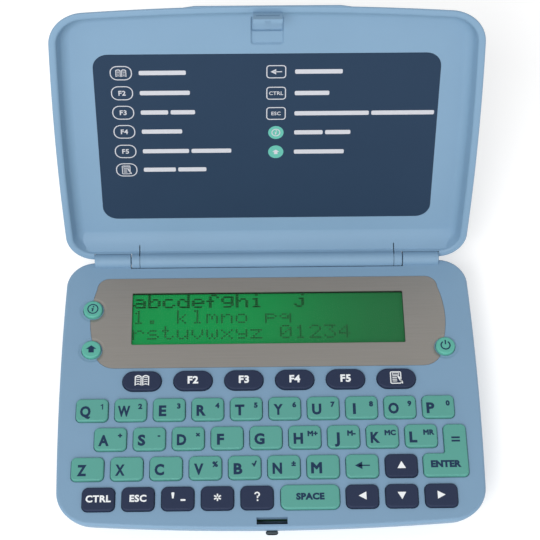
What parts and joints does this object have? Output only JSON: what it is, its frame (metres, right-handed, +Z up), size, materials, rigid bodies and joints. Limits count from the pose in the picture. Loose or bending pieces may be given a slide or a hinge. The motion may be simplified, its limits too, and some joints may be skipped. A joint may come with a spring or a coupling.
{
  "type": "electronic dictionary",
  "caption": "Clamshell pocket electronic dictionary, shown open: hinged lid with a legend card, backlit screen, letter keyboard, latch and battery cover.",
  "frame": {"origin": "middle of the flat underside of the base", "axes": "+X to the user's right, +Y to the back where the hinge is, +Z up out of the keys"},
  "size_m": [0.1286, 0.1288, 0.1023],
  "materials": {
    "case_plastic": "moulded, fine satin",
    "display_plate": "brushed",
    "window_clear": "clear",
    "lcd_glass": "backlit green",
    "board_laminate": "lacquered laminate",
    "mat_rubber": "moulded silicone",
    "cell_jacket": "printed jacket",
    "screw_steel": "plated",
    "button_plastic": "moulded",
    "card_plastic": "printed film",
    "key_teal": "moulded, satin",
    "key_navy": "moulded, satin"
  },
  "bodies": {
    "base": {"base_bottom_shell": "case_plastic", "base_top_shell": "case_plastic", "display_bezel": "display_plate", "display_window": "window_clear", "lcd_panel": "lcd_glass", "circuit_board": "board_laminate", "key_mat": "mat_rubber", "batteries": "cell_jacket", "case_screws": "screw_steel"},
    "lid": {"lid_shell": "case_plastic", "legend_card": "card_plastic"},
    "release_button": {"release_button": "button_plastic"},
    "battery_cover": {"battery_cover": "case_plastic"},
    "key_function_1": {"key_function_1": "key_navy"},
    "key_function_2": {"key_function_2": "key_navy"},
    "key_function_3": {"key_function_3": "key_navy"},
    "key_function_4": {"key_function_4": "key_navy"},
    "key_function_5": {"key_function_5": "key_navy"},
    "key_function_6": {"key_function_6": "key_navy"},
    "key_q": {"key_q": "key_teal"},
    "key_w": {"key_w": "key_teal"},
    "key_e": {"key_e": "key_teal"},
    "key_r": {"key_r": "key_teal"},
    "key_t": {"key_t": "key_teal"},
    "key_y": {"key_y": "key_teal"},
    "key_u": {"key_u": "key_teal"},
    "key_i": {"key_i": "key_teal"},
    "key_o": {"key_o": "key_teal"},
    "key_p": {"key_p": "key_teal"},
    "key_a": {"key_a": "key_teal"},
    "key_s": {"key_s": "key_teal"},
    "key_d": {"key_d": "key_teal"},
    "key_f": {"key_f": "key_teal"},
    "key_g": {"key_g": "key_teal"},
    "key_h": {"key_h": "key_teal"},
    "key_j": {"key_j": "key_teal"},
    "key_k": {"key_k": "key_teal"},
    "key_l": {"key_l": "key_teal"},
    "key_z": {"key_z": "key_teal"},
    "key_x": {"key_x": "key_teal"},
    "key_c": {"key_c": "key_teal"},
    "key_v": {"key_v": "key_teal"},
    "key_b": {"key_b": "key_teal"},
    "key_n": {"key_n": "key_teal"},
    "key_m": {"key_m": "key_teal"},
    "key_backspace": {"key_backspace": "key_teal"},
    "key_up": {"key_up": "key_navy"},
    "key_enter": {"key_enter": "key_teal"},
    "key_space": {"key_space": "key_teal"},
    "key_info": {"key_info": "key_teal"},
    "key_shift": {"key_shift": "key_teal"},
    "key_power": {"key_power": "key_teal"},
    "key_control": {"key_control": "key_navy"},
    "key_escape": {"key_escape": "key_navy"},
    "key_apostrophe": {"key_apostrophe": "key_navy"},
    "key_star": {"key_star": "key_navy"},
    "key_question": {"key_question": "key_navy"},
    "key_left": {"key_left": "key_navy"},
    "key_down": {"key_down": "key_navy"},
    "key_right": {"key_right": "key_navy"}
  },
  "joints": [
    {"name": "lid_hinge", "type": "hinge", "parent": "base", "child": "lid", "pos_m": [0, 0.04575, 0.01665], "axis": [1, 0, 0], "range_deg": [0, 111]},
    {"name": "release_push", "type": "slide", "parent": "base", "child": "release_button", "axis": [0, 1, 0], "range_m": [0, 0.0009], "stiffness_N_per_m": 900},
    {"name": "battery_cover_slide", "type": "slide", "parent": "base", "child": "battery_cover", "axis": [0, 1, 0], "range_m": [0, 0.022]},
    {"name": "key_function_1_press", "type": "slide", "parent": "base", "child": "key_function_1", "axis": [0, 0, -1], "range_m": [0, 0.0007], "stiffness_N_per_m": 500},
    {"name": "key_function_2_press", "type": "slide", "parent": "base", "child": "key_function_2", "axis": [0, 0, -1], "range_m": [0, 0.0007], "stiffness_N_per_m": 500},
    {"name": "key_function_3_press", "type": "slide", "parent": "base", "child": "key_function_3", "axis": [0, 0, -1], "range_m": [0, 0.0007], "stiffness_N_per_m": 500},
    {"name": "key_function_4_press", "type": "slide", "parent": "base", "child": "key_function_4", "axis": [0, 0, -1], "range_m": [0, 0.0007], "stiffness_N_per_m": 500},
    {"name": "key_function_5_press", "type": "slide", "parent": "base", "child": "key_function_5", "axis": [0, 0, -1], "range_m": [0, 0.0007], "stiffness_N_per_m": 500},
    {"name": "key_function_6_press", "type": "slide", "parent": "base", "child": "key_function_6", "axis": [0, 0, -1], "range_m": [0, 0.0007], "stiffness_N_per_m": 500},
    {"name": "key_q_press", "type": "slide", "parent": "base", "child": "key_q", "axis": [0, 0, -1], "range_m": [0, 0.0007], "stiffness_N_per_m": 500},
    {"name": "key_w_press", "type": "slide", "parent": "base", "child": "key_w", "axis": [0, 0, -1], "range_m": [0, 0.0007], "stiffness_N_per_m": 500},
    {"name": "key_e_press", "type": "slide", "parent": "base", "child": "key_e", "axis": [0, 0, -1], "range_m": [0, 0.0007], "stiffness_N_per_m": 500},
    {"name": "key_r_press", "type": "slide", "parent": "base", "child": "key_r", "axis": [0, 0, -1], "range_m": [0, 0.0007], "stiffness_N_per_m": 500},
    {"name": "key_t_press", "type": "slide", "parent": "base", "child": "key_t", "axis": [0, 0, -1], "range_m": [0, 0.0007], "stiffness_N_per_m": 500},
    {"name": "key_y_press", "type": "slide", "parent": "base", "child": "key_y", "axis": [0, 0, -1], "range_m": [0, 0.0007], "stiffness_N_per_m": 500},
    {"name": "key_u_press", "type": "slide", "parent": "base", "child": "key_u", "axis": [0, 0, -1], "range_m": [0, 0.0007], "stiffness_N_per_m": 500},
    {"name": "key_i_press", "type": "slide", "parent": "base", "child": "key_i", "axis": [0, 0, -1], "range_m": [0, 0.0007], "stiffness_N_per_m": 500},
    {"name": "key_o_press", "type": "slide", "parent": "base", "child": "key_o", "axis": [0, 0, -1], "range_m": [0, 0.0007], "stiffness_N_per_m": 500},
    {"name": "key_p_press", "type": "slide", "parent": "base", "child": "key_p", "axis": [0, 0, -1], "range_m": [0, 0.0007], "stiffness_N_per_m": 500},
    {"name": "key_a_press", "type": "slide", "parent": "base", "child": "key_a", "axis": [0, 0, -1], "range_m": [0, 0.0007], "stiffness_N_per_m": 500},
    {"name": "key_s_press", "type": "slide", "parent": "base", "child": "key_s", "axis": [0, 0, -1], "range_m": [0, 0.0007], "stiffness_N_per_m": 500},
    {"name": "key_d_press", "type": "slide", "parent": "base", "child": "key_d", "axis": [0, 0, -1], "range_m": [0, 0.0007], "stiffness_N_per_m": 500},
    {"name": "key_f_press", "type": "slide", "parent": "base", "child": "key_f", "axis": [0, 0, -1], "range_m": [0, 0.0007], "stiffness_N_per_m": 500},
    {"name": "key_g_press", "type": "slide", "parent": "base", "child": "key_g", "axis": [0, 0, -1], "range_m": [0, 0.0007], "stiffness_N_per_m": 500},
    {"name": "key_h_press", "type": "slide", "parent": "base", "child": "key_h", "axis": [0, 0, -1], "range_m": [0, 0.0007], "stiffness_N_per_m": 500},
    {"name": "key_j_press", "type": "slide", "parent": "base", "child": "key_j", "axis": [0, 0, -1], "range_m": [0, 0.0007], "stiffness_N_per_m": 500},
    {"name": "key_k_press", "type": "slide", "parent": "base", "child": "key_k", "axis": [0, 0, -1], "range_m": [0, 0.0007], "stiffness_N_per_m": 500},
    {"name": "key_l_press", "type": "slide", "parent": "base", "child": "key_l", "axis": [0, 0, -1], "range_m": [0, 0.0007], "stiffness_N_per_m": 500},
    {"name": "key_z_press", "type": "slide", "parent": "base", "child": "key_z", "axis": [0, 0, -1], "range_m": [0, 0.0007], "stiffness_N_per_m": 500},
    {"name": "key_x_press", "type": "slide", "parent": "base", "child": "key_x", "axis": [0, 0, -1], "range_m": [0, 0.0007], "stiffness_N_per_m": 500},
    {"name": "key_c_press", "type": "slide", "parent": "base", "child": "key_c", "axis": [0, 0, -1], "range_m": [0, 0.0007], "stiffness_N_per_m": 500},
    {"name": "key_v_press", "type": "slide", "parent": "base", "child": "key_v", "axis": [0, 0, -1], "range_m": [0, 0.0007], "stiffness_N_per_m": 500},
    {"name": "key_b_press", "type": "slide", "parent": "base", "child": "key_b", "axis": [0, 0, -1], "range_m": [0, 0.0007], "stiffness_N_per_m": 500},
    {"name": "key_n_press", "type": "slide", "parent": "base", "child": "key_n", "axis": [0, 0, -1], "range_m": [0, 0.0007], "stiffness_N_per_m": 500},
    {"name": "key_m_press", "type": "slide", "parent": "base", "child": "key_m", "axis": [0, 0, -1], "range_m": [0, 0.0007], "stiffness_N_per_m": 500},
    {"name": "key_backspace_press", "type": "slide", "parent": "base", "child": "key_backspace", "axis": [0, 0, -1], "range_m": [0, 0.0007], "stiffness_N_per_m": 500},
    {"name": "key_up_press", "type": "slide", "parent": "base", "child": "key_up", "axis": [0, 0, -1], "range_m": [0, 0.0007], "stiffness_N_per_m": 500},
    {"name": "key_enter_press", "type": "slide", "parent": "base", "child": "key_enter", "axis": [0, 0, -1], "range_m": [0, 0.0007], "stiffness_N_per_m": 500},
    {"name": "key_space_press", "type": "slide", "parent": "base", "child": "key_space", "axis": [0, 0, -1], "range_m": [0, 0.0007], "stiffness_N_per_m": 500},
    {"name": "key_info_press", "type": "slide", "parent": "base", "child": "key_info", "axis": [0, 0, -1], "range_m": [0, 0.0007], "stiffness_N_per_m": 500},
    {"name": "key_shift_press", "type": "slide", "parent": "base", "child": "key_shift", "axis": [0, 0, -1], "range_m": [0, 0.0007], "stiffness_N_per_m": 500},
    {"name": "key_power_press", "type": "slide", "parent": "base", "child": "key_power", "axis": [0, 0, -1], "range_m": [0, 0.0007], "stiffness_N_per_m": 500},
    {"name": "key_control_press", "type": "slide", "parent": "base", "child": "key_control", "axis": [0, 0, -1], "range_m": [0, 0.0007], "stiffness_N_per_m": 500},
    {"name": "key_escape_press", "type": "slide", "parent": "base", "child": "key_escape", "axis": [0, 0, -1], "range_m": [0, 0.0007], "stiffness_N_per_m": 500},
    {"name": "key_apostrophe_press", "type": "slide", "parent": "base", "child": "key_apostrophe", "axis": [0, 0, -1], "range_m": [0, 0.0007], "stiffness_N_per_m": 500},
    {"name": "key_star_press", "type": "slide", "parent": "base", "child": "key_star", "axis": [0, 0, -1], "range_m": [0, 0.0007], "stiffness_N_per_m": 500},
    {"name": "key_question_press", "type": "slide", "parent": "base", "child": "key_question", "axis": [0, 0, -1], "range_m": [0, 0.0007], "stiffness_N_per_m": 500},
    {"name": "key_left_press", "type": "slide", "parent": "base", "child": "key_left", "axis": [0, 0, -1], "range_m": [0, 0.0007], "stiffness_N_per_m": 500},
    {"name": "key_down_press", "type": "slide", "parent": "base", "child": "key_down", "axis": [0, 0, -1], "range_m": [0, 0.0007], "stiffness_N_per_m": 500},
    {"name": "key_right_press", "type": "slide", "parent": "base", "child": "key_right", "axis": [0, 0, -1], "range_m": [0, 0.0007], "stiffness_N_per_m": 500}
  ]
}
